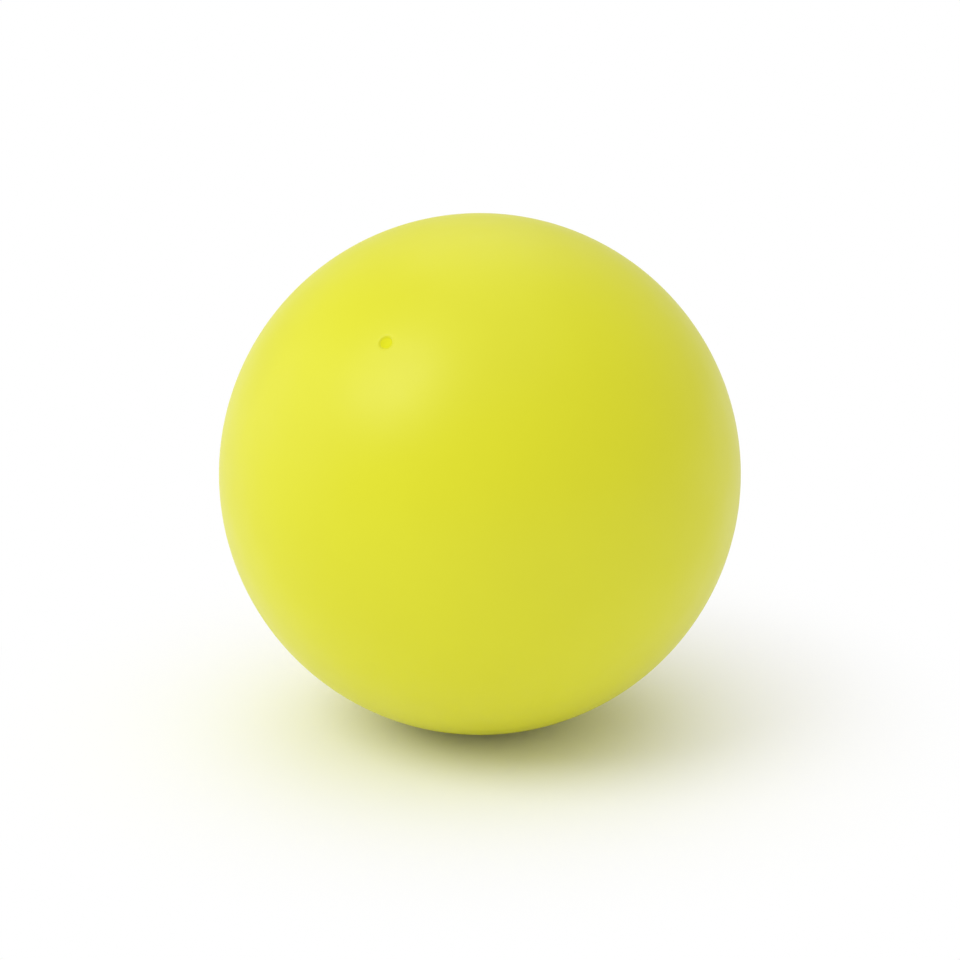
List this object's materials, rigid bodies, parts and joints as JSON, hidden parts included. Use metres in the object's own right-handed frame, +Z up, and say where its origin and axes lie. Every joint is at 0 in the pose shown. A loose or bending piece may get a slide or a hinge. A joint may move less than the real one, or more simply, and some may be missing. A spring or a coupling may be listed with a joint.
{
  "type": "bouncy ball",
  "caption": "Inflatable round bouncy ball with a seamless smooth soft vinyl skin and a small recessed air valve closed by a push-in plug.",
  "frame": {"origin": "centre of the ball", "axes": "+Z up as the ball lies in the picture, -Y towards the viewer, +X to the viewer's right; the valve faces up, forward and to the left"},
  "size_m": [0.1899, 0.1899, 0.1899],
  "materials": {
    "skin": "satin",
    "seat": "satin",
    "plug": "satin"
  },
  "bodies": {
    "ball": {"ball_skin": "skin", "valve_seat": "seat"},
    "plug": {"valve_plug": "plug"}
  },
  "joints": [
    {"name": "plug_pull", "type": "slide", "parent": "ball", "child": "plug", "axis": [-0.3386, -0.6236, 0.7046], "range_m": [0, 0.016]}
  ]
}
